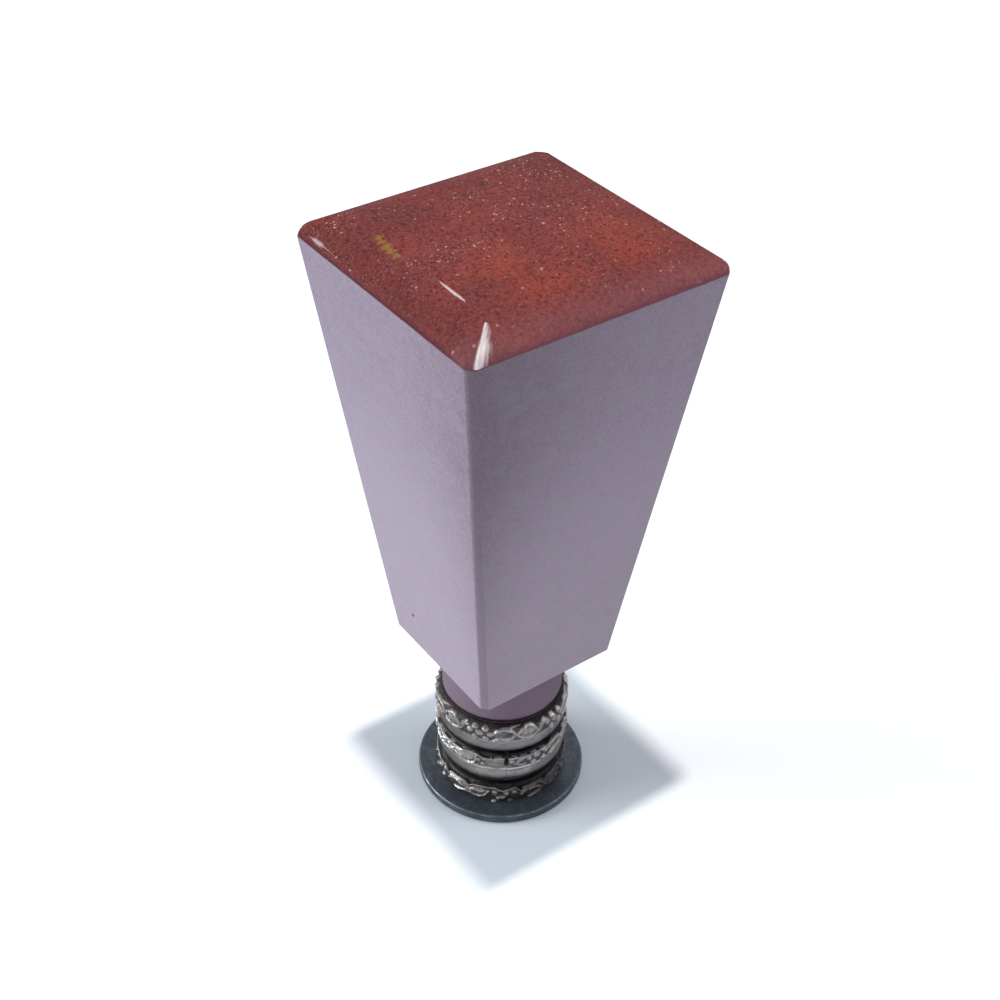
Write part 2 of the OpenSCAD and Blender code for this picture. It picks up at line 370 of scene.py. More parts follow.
    def crown(self, shader: Shader, nose: Sock) -> Sock:
        """Return the colour of the crown with its marks, painted shade and painted highlights.

        Args:
            shader: The material's graph.
            nose: The mask of the blunt nose.

        Returns:
            The colour.
        """
        x = shader.axis("X")
        # Painted shade: the crown darker along its front-left edge and towards its left.
        front = shader.axis("Y").ramp(-15.3, -10.0, 1.0, 0.0).larger(x.ramp(-13.0, -3.0, 0.6, 0.0))
        return shader.layers(
            self.crown_colour(shader), (self.flecks(shader) * 0.68, self.fleck), (nose, self.nose),
            (shader.attribute("back_edge") * 0.45, self.back_edge), (front * 0.40, self.crown_front_shade),
            (x.ramp(10.5, 15.0, 0.0, 0.22), self.crown_right), (self.painted_highlights(shader), self.painted_highlight))

    def sides(self, shader: Shader, z: Sock, mottle: Sock) -> Sock:
        """Return the colour of the tapered sides, with painted shade and a painted reflection.

        Args:
            shader: The material's graph.
            z: The height.
            mottle: A fine mottle.

        Returns:
            The colour.
        """
        # Thinner haze near the front arris: partly edge wear, partly painted shade; the random patches are
        # wear.
        worn_and_shaded = shader.attribute("arris") * 0.85 + shader.noise(0.09, 3.0, 0.5, 0.3).ramp(0.3, 0.7) * 0.15
        specks = (shader.cells(0.8) + shader.noise(3.0, 2.0) * 0.25).ramp(0.18, 0.26, 1.0, 0.0)
        return shader.layers(
            self.haze, (worn_and_shaded.ramp(0.0, 1.0), self.haze_thin_and_shade),
            # Paler towards the bottom: painted reflection of the floor. Darker towards the top: painted
            # shade.
            (z.ramp(20.0, 60.0, 0.5, 0.0), self.haze_pale_and_reflection), (z.ramp(42.0, 71.0, 0.0, 0.55), self.haze_thin_and_shade),
            (mottle.ramp(0.4, 0.75) * 0.22, self.haze_pale_and_reflection),
            (mottle.ramp(0.25, 0.5, 1.0, 0.0) * 0.32, self.haze_thin_and_shade),
            (shader.noise(0.45, 2.0, 0.5).ramp(0.45, 0.7) * 0.25, self.haze_green),
            (shader.noise(4.5, 3.0, 0.8).ramp(0.45, 0.65) * 0.38, self.haze_grain),
            # Painted shade on the front chamfer, to match the shaded right side.
            (specks * 0.22, self.speck), (shader.attribute("chamfer") * 0.40, self.chamfer),
            # Painted shade on the right side, darkest near the front arris towards the top.
            (shader.attribute("right_shade") * 0.42, self.painted_shade), (shader.near(self.pit), self.grime_and_shade))

    def turned_neck(self, shader: Shader, z: Sock, mottle: Sock) -> Sock:
        """Return the colour of the neck, with painted shade under the body and a dark line of painted shade
        at its foot.

        Args:
            shader: The material's graph.
            z: The height.
            mottle: A fine mottle.

        Returns:
            The colour.
        """
        # A dark line of painted shade at the neck's foot, where it meets the mount.
        line = (z + shader.noise(0.8, 3.0) * 0.25).ramp(NECK_Z + 0.5, NECK_Z + 0.95, 1.0, 0.0)
        # Painted shade under the body.
        shade_under_body = z.ramp(BODY_Z - 1.9, BODY_Z - 0.9)
        return shader.layers(
            self.neck, (mottle.ramp(0.35, 0.7) * 0.3, self.haze_thin_and_shade), (shade_under_body * 0.6, self.shade_under_body),
            (line, self.grime_and_shade))

    def material(self) -> bpy.types.Material:
        """Build the material.

        Returns:
            The material.
        """
        shader = Shader("jasper")
        z = shader.axis("Z")
        wander = shader.noise(0.9, 2.0) * 0.1
        mottle = shader.noise(1.9, 5.0, 0.75)
        crown = (z + wander).ramp(CROWN_Z + 0.04, CROWN_Z + 0.16)
        nose = (z + wander * 2.0).ramp(CROWN_Z + 0.3, CROWN_Z + 0.8, 0.7, 0.0)
        neck = z.ramp(BODY_Z - 0.1, BODY_Z + 0.02, 1.0, 0.0)
        colour = shader.layers(
            self.sides(shader, z, mottle), (neck, self.turned_neck(shader, z, mottle)),
            (crown, self.crown(shader, nose)))
        satin = shader.noise(1.1, 4.0, 0.6).ramp(0.3, 0.7, 0.38, 0.50)
        polish = shader.noise(0.7, 4.0, 0.6).ramp(0.3, 0.7, 0.14, 0.24)
        height = shader.noise(7.0, 3.0, 0.7) * 0.3 + shader.noise(0.6, 3.0) * 0.9
        return shader.finish(
            Base_Color=colour, Roughness=satin + crown * (polish - satin), Specular_IOR_Level=0.0,
            Coat_Weight=z.ramp(CROWN_Z + 1.6, CROWN_Z + 2.7, *self.coat), Coat_Roughness=0.14,
            Coat_IOR=1.4, Normal=shader.bump(height, 0.03))


@dataclass(frozen=True)
class SilverFinish:
    """Silver rubbed bright on its high points and tarnished brown-black in its hollows, with painted light
    and shade in its stored brightness.
    """

    bright: Colour = rgb(0.54, 0.515, 0.505)
    worn: Colour = rgb(0.245, 0.232, 0.235)
    tarnish: Colour = rgb(0.036, 0.032, 0.034)
    black_tarnish_and_shade: Colour = rgb(0.008, 0.005, 0.008)
    warm_cast: Colour = rgb(1.0, 0.955, 0.90)
    bright_rough: float = 0.31
    tarnish_rough: float = 0.55

    def material(self) -> bpy.types.Material:
        """Build the material from the wear that is stored on the mesh.

        Returns:
            The material.
        """
        shader = Shader("gallery_silver")
        patches = shader.noise(1.1, 5.0, 0.72, 0.4)
        rubbed_and_lit = shader.attribute("wear") + (patches - 0.5) * 0.42
        spots = (shader.cells(2.4) + shader.noise(4.0, 2.0) * 0.3).ramp(0.2, 0.32, 1.0, 0.0)
        colour = shader.layers(
            self.tarnish, (rubbed_and_lit.ramp(0.08, 0.55), self.worn),
            # Near black where the value falls below zero: black tarnish in the hollows, and painted shade
            # on the right of the shoulders.
            (rubbed_and_lit.ramp(-0.22, 0.06, 1.0, 0.0), self.black_tarnish_and_shade), (rubbed_and_lit.ramp(0.55, 1.05), self.bright),
            (spots * 0.35, self.tarnish))
        warm = shader.noise(0.3, 3.0).ramp(0.4, 0.6) * 0.5
        scratches = shader.noise(2.4, 3.0, 0.7, 0.2, shader.stretched(4.0, 4.0, 0.5))
        shine = rubbed_and_lit.ramp(0.1, 0.9)
        rough = self.tarnish_rough + shine * (self.bright_rough - self.tarnish_rough)
        height = scratches * 0.5 + shader.noise(5.0, 3.0, 0.7) * 0.5
        return shader.finish(
            Base_Color=shader.mix(warm, colour, self.warm_cast, "MULTIPLY"),
            Metallic=shine.ramp(0.0, 0.5, 0.8, 1.0), Roughness=rough + (patches - 0.5) * 0.2,
            Normal=shader.bump(height, 0.02))


@dataclass(frozen=True)
class DarkMetalFinish:
    """Plain dark metal that the gallery hides for the most part."""

    name: str = "sleeve_silver"
    dark: Colour = rgb(0.045, 0.038, 0.034)
    light: Colour = rgb(0.16, 0.145, 0.13)

    def material(self) -> bpy.types.Material:
        """Build the material.

        Returns:
            The material.
        """
        shader = Shader(self.name)
        patches = shader.noise(0.9, 4.0, 0.65, 0.5)
        rings = shader.noise(3.0, 3.0, 0.6, 0.0, shader.stretched(6.0, 6.0, 0.25))
        colour = shader.mix((patches * 0.7 + rings * 0.3).ramp(0.42, 0.66), self.dark, self.light)
        return shader.finish(
            Base_Color=colour, Metallic=0.85, Roughness=patches.ramp(0.3, 0.7, 0.6, 0.4),
            Normal=shader.bump(rings + patches, 0.02))


@dataclass(frozen=True)
class BrassFinish:
    """Turned brass of the tang."""

    brass: Colour = rgb(0.60, 0.43, 0.20)
    stained: Colour = rgb(0.33, 0.21, 0.09)

    def material(self) -> bpy.types.Material:
        """Build the material.

        Returns:
            The material.
        """
        shader = Shader("tang_brass")
        lathe = shader.noise(3.5, 3.0, 0.6, 0.0, shader.stretched(8.0, 8.0, 0.2))
        stain = shader.noise(0.7, 4.0, 0.6, 0.4)
        return shader.finish(
            Base_Color=shader.mix(stain.ramp(0.4, 0.7), self.brass, self.stained), Metallic=1.0,
            Roughness=stain.ramp(0.3, 0.7, 0.26, 0.42), Normal=shader.bump(lathe, 0.02))


@dataclass(frozen=True)
class CementFinish:
    """Dark shellac cement."""

    dark: Colour = rgb(0.018, 0.010, 0.013)
    brown: Colour = rgb(0.060, 0.034, 0.042)

    def material(self) -> bpy.types.Material:
        """Build the material.

        Returns:
            The material.
        """
        shader = Shader("shellac_cement")
        lumps = shader.noise(1.6, 4.0, 0.65, 0.4)
        return shader.finish(
            Base_Color=shader.mix(lumps.ramp(0.35, 0.7), self.dark, self.brown),
            Roughness=lumps.ramp(0.3, 0.7, 0.5, 0.72), Normal=shader.bump(lumps, 0.08))


@dataclass(frozen=True)
class MatrixFinish:
    """Dark blue-grey oxidised steel with a bright rim, partly rubbed and partly a painted highlight, and a
    ground printing face.
    """

    dark: Colour = rgb(0.037, 0.048, 0.064)
    pale: Colour = rgb(0.080, 0.098, 0.118)
    # The bright rim line: partly rubbed steel, partly a painted highlight.
    rim: Colour = rgb(0.27, 0.295, 0.31)
    face: Colour = rgb(0.30, 0.31, 0.31)
    face_scratch: Colour = rgb(0.17, 0.18, 0.185)

    def material(self) -> bpy.types.Material:
        """Build the material.

        Returns:
            The material.
        """
        shader = Shader("matrix_steel")
        stain = shader.noise(0.55, 5.0, 0.65, 0.5)
        speck = shader.noise(3.6, 4.0, 0.7)
        edge = shader.attribute("wear") + (shader.noise(1.3, 4.0, 0.7) - 0.5) * 0.9
        rubbed_and_lit = edge.ramp(0.62, 1.05)
        under = shader.axis("Z").ramp(0.01, 0.05, 1.0, 0.0)
        scratches = shader.noise(1.2, 4.0, 0.7, 0.2, shader.stretched(9.0, 0.5, 1.0, 24.0))
        ground = shader.mix(scratches.ramp(0.35, 0.65), self.face, self.face_scratch)
        colour = shader.layers(
            self.dark, ((stain * 0.65 + speck * 0.35).ramp(0.38, 0.64), self.pale), (rubbed_and_lit, self.rim),
            (under, ground))
        height = stain * 0.6 + speck * 0.25 + scratches * 0.15
        return shader.finish(
            Base_Color=colour, Metallic=rubbed_and_lit.ramp(0.0, 1.0, 0.35, 1.0),
            Roughness=stain.ramp(0.3, 0.7, 0.44, 0.32) - rubbed_and_lit * 0.1, Normal=shader.bump(height, 0.03))


def stand(name: str, data: bpy.types.ID) -> bpy.types.Object:
    """Put a mesh, lamp or camera into the scene as an object of that name.

    Args:
        name: The object's name.
        data: The mesh, lamp or camera.

    Returns:
        The object.
    """
    made = bpy.data.objects.new(name, data)
    bpy.context.scene.collection.objects.link(made)
    return made


def points_of(mesh: bpy.types.Mesh) -> Array:
    """Return the mesh's points in millimetres, one to a row.

    Args:
        mesh: The mesh, in metres.

    Returns:
        The points.
    """
    flat = np.empty(len(mesh.vertices) * 3)
    mesh.vertices.foreach_get("co", flat)
    return flat.reshape(-1, 3) / MM


def store(mesh: bpy.types.Mesh, **marks: Array | list[float]) -> None:
    """Store marks on the mesh's points, each under its name.

    Args:
        mesh: The mesh.
        marks: One value for each point, by the mark's name.
    """
    for name, values in marks.items():
        stored = mesh.attributes.new(name, "FLOAT", "POINT")
        stored.data.foreach_set("value", np.asarray(values, np.float32))


class Piece:
    """A mesh that becomes an object of the seal."""

    doublings = 4
    weld = 0.0001

    def __init__(self, name: str, nodes: list[str], slot: str) -> None:
        """Start an empty mesh for a piece.

        Args:
            name: Name of the piece.
            nodes: CAD nodes that it replaces.
            slot: Name of its finish's slot; not used.
        """
        self.name = name
        self.nodes = nodes
        self.slot = slot
        self.bm = bmesh.new()

    def close(self, material: bpy.types.Material) -> bpy.types.Mesh:
        """Turn the mesh, in millimetres, into an object that rides on the seal.

        Args:
            material: The finish.

        Returns:
            The object's mesh, for later moves of its vertices.
        """
        bmesh.ops.scale(self.bm, vec=(MM, MM, MM), verts=self.bm.verts)
        bmesh.ops.recalc_face_normals(self.bm, faces=self.bm.faces)
        for face in self.bm.faces:
            face.smooth = True
        self.settle()
        mesh = bpy.data.meshes.new(self.name)
        self.bm.to_mesh(mesh)
        self.bm.free()
        mesh.materials.append(material)
        made = stand(self.name, mesh)
        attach(made, BODY)
        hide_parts(*self.nodes)
        log.info("%s: %d faces", self.name, len(mesh.polygons))
        return mesh

    def settle(self) -> None:
        """Put edges and faces in the order of their points, since spins leave them in any order."""
        self.bm.verts.index_update()
        for items in (self.bm.edges, self.bm.faces):
            in_order = sorted(items, key=lambda item: sorted(vert.index for vert in item.verts))
            rank = {item: place for place, item in enumerate(in_order)}
            items.sort(key=rank.get)

    def spin(self, profile: list[Point2], steps: int) -> None:
        """Spin a closed profile of radii and heights all the way round, one sixteenth at first.

        Args:
            profile: Radius and height of each corner.
            steps: Steps of the full turn.
        """
        verts = [self.bm.verts.new((radius, 0.0, z)) for radius, z in profile]
        edges = [self.bm.edges.new(pair) for pair in zip(verts, verts[1:] + verts[:1])]
        angle = 2 * math.pi / 2 ** self.doublings
        bmesh.ops.spin(
            self.bm, geom=verts + edges, cent=(0, 0, 0), axis=(0, 0, 1), angle=angle,
            steps=steps // 2 ** self.doublings, use_merge=False, use_duplicate=False)
        for k in range(self.doublings):
            whole = [*self.bm.verts, *self.bm.edges, *self.bm.faces]
            copied = bmesh.ops.duplicate(self.bm, geom=whole)["geom"]
            verts = [item for item in copied if isinstance(item, bmesh.types.BMVert)]
            turned = Matrix.Rotation(angle * 2 ** k, 3, "Z")
            bmesh.ops.rotate(self.bm, cent=(0, 0, 0), matrix=turned, verts=verts)
        bmesh.ops.remove_doubles(self.bm, verts=self.bm.verts, dist=self.weld)


def smooth_line(points: list[Point2], steps: int) -> list[Point2]:
    """Draw a smooth curve through points.

    Args:
        points: Points that the curve passes.
        steps: Steps between two points.

    Returns:
        The points of the curve.
    """
    line = np.array([points[0], *points, points[-1]], float)
    curve = []
    for before, start, end, after in zip(line, line[1:], line[2:], line[3:]):
        for t in np.arange(steps) / steps:
            curve.append(tuple(0.5 * (
                2 * start + (end - before) * t + (2 * before - 5 * start + 4 * end - after) * t * t
                + (3 * start - before - 3 * end + after) * t ** 3)))
    return curve + [tuple(line[-1])]


def divided(points: list[Point2], step: float) -> list[Point2]:
    """Divide a line of points so that no gap is longer than a step.

    Args:
        points: Corners of the line.
        step: Longest gap.

    Returns:
        The corners with the points between them.
    """
    line = [points[0]]
    for start, end in zip(points, points[1:]):
        parts = max(1, math.ceil(math.dist(start, end) / step))
        line += [tuple(np.array(start) + (np.array(end) - start) * k / parts) for k in range(1, parts + 1)]
    return line
def arc(centre: Point2, radius: float, turns: Iterable[float]) -> list[Point2]:
    """Return points round a centre, at turns given in degrees."""
    return [(centre[0] + radius * math.cos(turn), centre[1] + radius * math.sin(turn))
            for turn in map(math.radians, turns)]
@dataclass(frozen=True)
class Section:
    """A level cut of the stone: a rectangle with round corners, or a circle."""

    z: float
    half_x: float
    half_y: float
    corner: float
    flat: float = 0.85
    circle: bool = False


@dataclass
class StoneHandle:
    """The hardstone handle: crown, tapered body, round neck and spigot in one stone."""

    foot: Point2 = (18.2, 18.2)
    head: Point2 = (30.2, 30.6)
    arris_r: float = 0.8
    hip_r: float = 1.7
    foot_ease: float = 0.2
    bevel: Point2 = (4.2, 2.5)
    table_rise: float = 0.5
    neck_r: float = 7.15
    neck_ease: float = 0.3
    fillet_r: float = 0.25
    spigot_r: float = 6.0
    spigot_z: float = 2.8
    hole_r: float = 1.8
    hole_z: float = 14.8
    corner_steps: int = 12
    side_steps: int = 22
    bevel_line: list[Point2] = field(default_factory=lambda: [
        (0, 0), (0.015, 0.14), (0.05, 0.27), (0.105, 0.38), (0.19, 0.49),
        (0.33, 0.62), (0.52, 0.765), (0.75, 0.9), (1, 1)])
    table_line: list[Point2] = field(default_factory=lambda: [
        (0, 0), (0.25, 0.44), (0.5, 0.75), (0.75, 0.94), (0.95, 1.0)])

    def outline(self, index: int, section: Section) -> Vector:
        """Place one point of a section's outline.

        Args:
            index: Number of the point, counted round the outline.
            section: The section.

        Returns:
            Its place.
        """
        if section.circle:
            guide = self.outline(index, Section(0, self.foot[0] / 2, self.foot[1] / 2, self.arris_r))
            turn = math.atan2(guide.y, guide.x)
            return Vector((section.half_x * math.cos(turn), section.half_x * math.sin(turn), section.z))
        per_side = self.corner_steps + self.side_steps
        side, step = divmod(index, per_side)
        spans = [(1, 1), (-1, 1), (-1, -1), (1, -1)]
        reach = [(section.half_x - section.corner) * spans[side][0],
                 (section.half_y - section.corner) * spans[side][1]]
        if step <= self.corner_steps:
            share = step / self.corner_steps
            ends = [math.radians(90 * (side + end)) for end in (0, share, 1)]
            bend = [Vector((reach[0] + section.corner * math.cos(turn),
                            reach[1] + section.corner * math.sin(turn), section.z)) for turn in ends]
            return bend[1].lerp(bend[0].lerp(bend[2], share), section.flat)
        start = self.outline(side * per_side + self.corner_steps, section)
        end = self.outline((side + 1) % 4 * per_side, section)
        share = (step - self.corner_steps) / self.side_steps
        return start.lerp(end, share * share * (3 - 2 * share))

    def sections(self) -> list[Section]:
        """List the cuts from the middle of the crown down to the end of the tang's hole.

        Returns:
            The cuts, in order.
        """
        half = (self.head[0] / 2, self.head[1] / 2)
        foot = (self.foot[0] / 2, self.foot[1] / 2)
        table_w = half[0] - self.bevel[0] - self.hip_r
        top = CROWN_Z + self.bevel[1]
        inset = self.bevel[0] + table_w * 0.95
        cuts = [Section(top + self.table_rise, (half[0] - inset) * core, (half[1] - inset) * core,
                        self.hip_r * core, 0.0) for core in (0.25, 0.6)]
        for share, rise in reversed(smooth_line(self.table_line, 5)[1:]):
            inset = self.bevel[0] + table_w * share
            cuts.append(Section(top + self.table_rise * min(rise, 1.0), half[0] - inset, half[1] - inset,
                                self.hip_r, 0.0))
        for share, rise in reversed(smooth_line(self.bevel_line, 5)):
            share = max(share, 0.0)
            inset = self.bevel[0] * share
            cuts.append(Section(CROWN_Z + self.bevel[1] * rise, half[0] - inset, half[1] - inset,
                                self.arris_r + (self.hip_r - self.arris_r) * share, 0.85 * (1 - share)))
        low = BODY_Z + self.foot_ease
        for share in np.linspace(0, 1, 60)[1:]:
            cuts.append(Section(
                CROWN_Z + (low - CROWN_Z) * share, half[0] + (foot[0] - half[0]) * share,
                half[1] + (foot[1] - half[1]) * share, self.arris_r))
        for turn in map(math.radians, (30, 60, 90)):
            inset = self.foot_ease * (1 - math.cos(turn))
            cuts.append(Section(low - self.foot_ease * math.sin(turn), foot[0] - inset, foot[1] - inset,
                                self.arris_r))
        return cuts + [Section(z, radius, radius, radius, 0.0, True) for radius, z in self.neck_profile()]

    def neck_profile(self) -> list[Point2]:
        """List radii and heights from the body's underside to the end of the tang's hole.

        Returns:
            The radii and heights.
        """
        fillet = arc((self.neck_r + self.fillet_r, BODY_Z - self.fillet_r), self.fillet_r,
                     (90, 120, 150, 180))
        ease = arc((self.neck_r - self.neck_ease, NECK_Z + self.neck_ease), self.neck_ease,
                   (0, -20, -40, -60, -80, -90))
        plain = [(self.spigot_r, NECK_Z), (self.spigot_r, self.spigot_z + 0.3),
                 (self.spigot_r - 0.3, self.spigot_z), (self.hole_r, self.spigot_z),
                 (self.hole_r, self.hole_z), (self.hole_r * 0.5, self.hole_z)]
        return fillet + divided([fillet[-1], ease[0]], 0.6)[1:] + ease[1:] + plain

    def unevenness(self, place: Vector) -> float:
        """Return how far a hand-worked surface falls short of true there, in millimetres."""
        return 0.035 * (0.5 + 0.5 * noise.noise(place * 0.11)) if place.z > NECK_Z else 0.0

    def build(self, material: bpy.types.Material) -> None:
        """Draw the stone out of a ring of vertices, section by section.

        Args:
            material: Its finish.
        """
        piece = Piece("jasper_handle", ["stone_handle"], "stone")
        bm = piece.bm
        count = 4 * (self.corner_steps + self.side_steps)
        number = bm.verts.layers.float.new("number")
        ring = bmesh.ops.create_circle(bm, cap_ends=False, radius=1.0, segments=count)["verts"]
        for index, vert in enumerate(ring):
            vert[number] = index
        edges = list(bm.edges)
        first = ring
        for level, section in enumerate(self.sections()):
            if level:
                made = bmesh.ops.extrude_edge_only(bm, edges=edges)["geom"]
                ring = [item for item in made if isinstance(item, bmesh.types.BMVert)]
                fresh = set(ring)
                edges = [item for item in made
                         if isinstance(item, bmesh.types.BMEdge) and fresh.issuperset(item.verts)]
            for vert in ring:
                place = self.outline(round(vert[number]), section)
                inward = Vector((-place.x, -place.y, 0.0)).normalized()
                vert.co = place + inward * self.unevenness(place)
        for rim in (first, ring):
            middle = sum((vert.co for vert in rim), Vector()) / len(rim)
            bmesh.ops.pointmerge(bm, verts=rim, merge_co=middle)
        self.mark(piece.close(material))

    def mark(self, mesh: bpy.types.Mesh) -> None:
        """Store how near each point is to an arris, where shade is painted on the right side and the
        chamfer, and where highlights are painted on the crown.

        Args:
            mesh: The stone, in metres.
        """
        x, y, z = points_of(mesh).T
        share = np.clip((z - BODY_Z) / (CROWN_Z - BODY_Z), 0, 1)
        half_x = (self.foot[0] + (self.head[0] - self.foot[0]) * share) / 2
        half_y = (self.foot[1] + (self.head[1] - self.foot[1]) * share) / 2
        # Distances from the two sides that the camera sees
        right, left = half_x - x, half_y + y
        front = (x > 0) & (y < 0)
        side = z < CROWN_Z + 0.05
        # Near the front arris the haze is thinner: partly edge wear, partly painted shade.
        arris = np.exp(-((np.maximum(right, left) / (3.0 + 5.0 * share)) ** 1.3)) * (0.35 + 0.65 * share)
        # Painted shade on the right side, darkest near the front arris towards the top.
        shade = np.exp(-((left / (4.0 + 13.0 * share)) ** 2)) * np.clip((share - 0.3) / 0.7, 0, 1) ** 0.7
        shade = np.where(side & (right < left + 0.35) & (x > 0), shade, 0)
        # The front chamfer, where shade is painted to match the shaded right side.
        chamfer = side & front & (z > BODY_Z)
        chamfer = chamfer & (np.minimum(right, left) > 0.12) & (np.maximum(right, left) < 0.9)
        far = 9.0
        back = np.minimum(np.where(x < 0, half_x + x, far), np.where(y > 0, half_y - y, far))
        back = np.where((z > CROWN_Z + 0.3) & (back < far), np.exp(-((back / 0.8) ** 2)), 0)
        store(mesh, arris=arris, chamfer=chamfer, right_shade=shade, back_edge=back,
              front_hip=np.where(front & (z > CROWN_Z + 0.12), self.hip_highlight(right, left), 0),
              bruise=np.where(z > CROWN_Z, self.bruises(x, y, z, left), 0))

    @staticmethod
    def hip_highlight(right: Array, left: Array) -> Array:
        """Return how strongly a highlight is painted on the hip of the front corner.

        Args:
            right: Distances to the right side.
            left: Distances to the left side.

        Returns:
            The painted highlight, from 0 to 1.
        """
        inset = np.minimum(right, left)
        middle = np.interp(inset, [0.0, 0.6, 1.6, 2.9], [-0.75, -0.80, -0.80, -0.75])
        width = np.interp(inset, [0.0, 0.6, 1.6, 2.9, 3.4], [0.95, 0.90, 0.68, 0.40, 0.0])
        width = width * np.where(right - left < middle, 2.1, 0.75)
        hip = np.clip(1.15 - np.abs(right - left - middle) / np.maximum(width, 0.01), 0, 1)
        return np.where(inset < 3.3, hip, 0)

    def bruises(self, x: Array, y: Array, z: Array, left: Array) -> Array:
        """Return the painted highlight on the ridge and the fainter one along the edge by the left corner.

        Args:
            x: Points along X.
            y: Points along Y.
            z: Heights.
            left: Distances to the left side.

        Returns:
            The painted highlights, from 0 to 1.
        """
        # Painted highlight along the ridge between the front-left bevel and the table.
        thick = np.interp(x, [3.2, 4.6, 7.0, 8.6], [0.0, 0.18, 0.24, 0.0])
        bruise = np.clip(1.2 - np.abs(y + 10.98 + 0.03 * (x - 4)) / np.maximum(thick, 0.01), 0, 1)
        bruise = np.where(thick > 0, bruise, 0)
        # A fainter painted highlight along the edge by the left corner.
        thick = np.interp(x, [-12.0, -11.4, -9.9, -8.8], [0.0, 0.30, 0.34, 0.0])
        nick = np.clip(1.2 - np.abs(left - 0.35) / np.maximum(thick, 0.01), 0, 1)
        nick = np.where((z > CROWN_Z + 0.25) & (y < 0) & (x < -7) & (x > -12.5), nick, 0)
        return np.maximum(bruise, nick * 0.55)


@dataclass(frozen=True)
class Ornament:
    """A raised shape of the frieze, placed by its turn and height."""

    turn: float
    z: float

    def rise(self, s: Array, z: Array) -> Array:
        """Return the rise at distances along and up from the shape's middle."""
        raise NotImplementedError


def dome(q: Array) -> Array:
    """Return the height of a round dome at a share of its radius."""
    return np.sqrt(np.clip(1 - q * q, 0, 1))


def tilted(s: Array, z: Array, tilt: float) -> tuple[Array, Array]:
    """Return distances along and across a line tilted by that many degrees."""
    cos, sin = math.cos(math.radians(tilt)), math.sin(math.radians(tilt))
    return s * cos + z * sin, -s * sin + z * cos


@dataclass(frozen=True)
class Bead(Ornament):
    """A round bead."""

    size: float = 0.34
    proud: float = 0.34

    def rise(self, s: Array, z: Array) -> Array:
        """Return the rise of the bead."""
        return self.proud * dome(np.hypot(s, z) / self.size)


@dataclass(frozen=True)
class Flower(Ornament):
    """A broad flower: six round petals about a flat bead."""

    size: float = 0.43
    proud: float = 0.36
    petals: tuple[Point2, ...] = (
        (-1.15, 0.12), (-0.52, 0.80), (0.72, 0.74), (1.27, 0.0), (0.80, -0.82), (-0.56, -0.88))

    def rise(self, s: Array, z: Array) -> Array:
        """Return the rise of the petals and the middle.

        Args:
            s: Distances along the strip, in millimetres.
            z: Distances up it.

        Returns:
            The rise.
        """
        height = self.proud * 0.85 * dome(np.hypot(s / 1.35, z) / self.size)
        for along, up in self.petals:
            height = np.maximum(height, self.proud * dome(np.hypot(s - along, z - up) / self.size))
        return height


@dataclass(frozen=True)
class Leaf(Ornament):
    """A cupped leaf with a raised rim, a midrib and side veins."""

    length: float = 2.3
    width: float = 1.15
    tilt: float = 20.0
    proud: float = 0.34

    def rise(self, s: Array, z: Array) -> Array:
        """Return the rise of the leaf.

        Args:
            s: Distances along the strip, in millimetres.
            z: Distances up it.

        Returns:
            The rise.
        """
        along, across = tilted(s, z, self.tilt)
        along = along / self.length + 0.5
        across = across + 0.1 * self.width * np.sin(math.pi * along)
        half = self.width / 2 * np.sin(math.pi * np.clip(along, 0.001, 0.999) ** 0.8) ** 0.7
        edge = np.abs(across) / half
        body = np.clip((1 - edge) / 0.22, 0, 1) ** 0.6
        cup = 0.55 + 0.45 * np.clip(edge, 0, 1) ** 2.5
        veins = 0.07 * np.cos(2 * math.pi * (along * 5.5 - np.abs(across) / self.width * 2.2))
        rib = 0.4 * np.exp(-(across / 0.07) ** 2)
        height = self.proud * body * np.clip(cup + veins + rib, 0, 1.05)
        return np.where((along > 0) & (along < 1), height, 0.0)


@dataclass(frozen=True)
class Trail(Ornament):
    """A raised line that follows a path: a stem, a scroll or the rim of a leaf."""

    path: tuple[Point2, ...]
    line: float = 0.17
    proud: float = 0.32

    def rise(self, s: Array, z: Array) -> Array:
        """Return the rise of the line.

        Args:
            s: Distances along the strip, in millimetres.
            z: Distances up it.

        Returns:
            The rise.
        """
        gap = np.full(s.shape, 9.0)
        bent = smooth_line(list(self.path), 4)
        for (s0, z0), (s1, z1) in zip(bent, bent[1:]):
            length = max((s1 - s0) ** 2 + (z1 - z0) ** 2, 1e-9)
            share = np.clip(((s - s0) * (s1 - s0) + (z - z0) * (z1 - z0)) / length, 0, 1)
            gap = np.minimum(gap, np.hypot(s - s0 - share * (s1 - s0), z - z0 - share * (z1 - z0)))
        return self.proud * dome(gap / self.line)


@dataclass(frozen=True)
class Pad(Ornament):
    """A low oval swelling that fills a leaf or the space between lines."""

    length: float = 1.8
    height: float = 1.3
    proud: float = 0.2
    tilt: float = 0.0

    def rise(self, s: Array, z: Array) -> Array:
        """Return the rise of the pad."""
        along, across = tilted(s, z, self.tilt)
        return self.proud * dome(np.hypot(along / (self.length / 2), across / (self.height / 2))) ** 0.6


SCROLL_PATH = ((-1.6, 0.15), (-1.1, 0.72), (-0.2, 0.86), (0.55, 0.62), (0.86, 0.12), (0.72, -0.42),
               (0.0, -0.60), (-0.9, -0.62), (-1.5, -0.95))
LEAF_RIM = ((-1.35, -0.2), (-0.95, 0.45), (-0.1, 0.98), (0.5, 0.72), (1.0, 0.1), (1.15, -0.55),
            (0.3, -0.92), (-0.5, -0.85), (-1.2, -0.5))
TIP_PATH = ((-0.9, 0.1), (-0.3, 0.42), (0.6, 0.5), (1.0, 0.25))
VEIN_PATH = ((-0.8, -0.45), (-0.2, -0.05), (0.5, 0.35))


